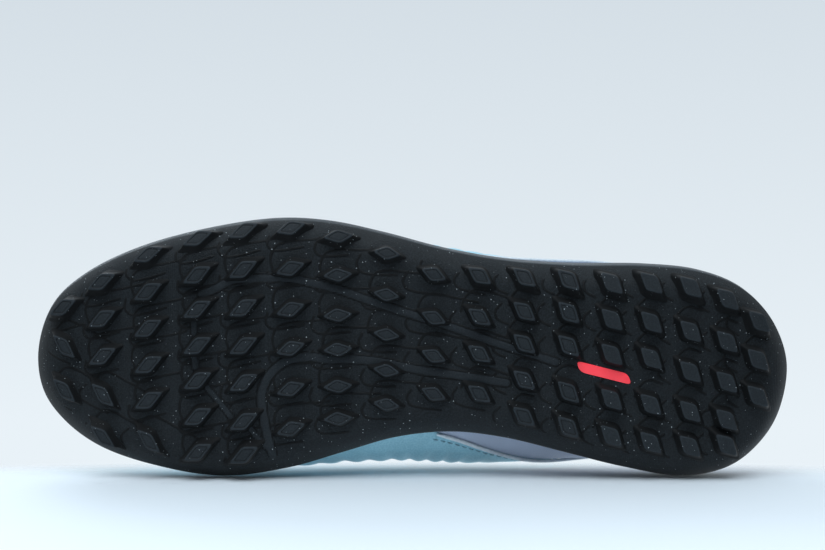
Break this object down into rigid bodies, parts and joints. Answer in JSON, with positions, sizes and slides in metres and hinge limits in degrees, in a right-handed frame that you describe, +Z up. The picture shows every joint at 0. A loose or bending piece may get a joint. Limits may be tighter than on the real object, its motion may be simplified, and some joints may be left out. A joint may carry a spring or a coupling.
{
  "type": "turf football shoe",
  "caption": "Left low football shoe for artificial turf, with small lozenge rubber lugs, coated upper, padded collar and tongue.",
  "frame": {"origin": "on the ground under the middle of the shoe's box", "axes": "+Z up, -X toward the toe, +X toward the heel, +Y toward the medial (inner) side of this left shoe"},
  "size_m": [0.2976, 0.1012, 0.1082],
  "materials": {
    "rubber_black": "moulded matt rubber with fine flecks",
    "inlay_coral": "satin rubber inlay",
    "midsole_foam": "moulded EVA foam, matt",
    "board_felt": "needled felt board",
    "sock_foam": "open cell foam",
    "sock_cloth": "brushed knit cloth",
    "skin_teal": "coated microfibre, satin",
    "panel_lavender": "fine woven textile, matt",
    "trim_light": "smooth piping",
    "lining_dark": "knitted lining, matt",
    "padding_foam": "open cell foam",
    "stiffener": "thermoformed sheet",
    "webbing_light": "woven webbing"
  },
  "bodies": {
    "shoe": {"outsole": "rubber_black", "outsole_inlay": "inlay_coral", "midsole": "midsole_foam", "strobel_board": "board_felt", "vamp": "skin_teal", "toe_puff": "stiffener", "heel_counter": "stiffener", "collar_foam": "padding_foam", "vamp_lining": "lining_dark", "collar_lining": "lining_dark", "topline_binding": "panel_lavender", "heel_strip": "skin_teal", "quarter_lateral": "skin_teal", "quarter_medial": "skin_teal", "heel_panel_lateral": "panel_lavender", "heel_panel_medial": "panel_lavender", "piping_lateral": "trim_light", "piping_medial": "trim_light", "eyestay_lateral": "skin_teal", "eyestay_medial": "skin_teal"},
    "tongue": {"tongue_face": "skin_teal", "tongue_foam": "padding_foam", "tongue_lining": "lining_dark", "tongue_loop": "webbing_light"},
    "sockliner": {"sockliner_foam": "sock_foam", "sockliner_cloth": "sock_cloth"}
  },
  "joints": [
    {"name": "tongue_flex", "type": "hinge", "parent": "shoe", "child": "tongue", "pos_m": [-0.07563, 0.00247, 0.0528], "axis": [0, 1, 0], "range_deg": [0, 8], "stiffness_Nm_per_rad": 0.8, "springref_deg": -1.72},
    {"name": "sockliner_lift", "type": "hinge", "parent": "shoe", "child": "sockliner", "pos_m": [-0.1393, 0.0055, 0.0226], "axis": [0, -1, 0], "range_deg": [0, 3]}
  ]
}
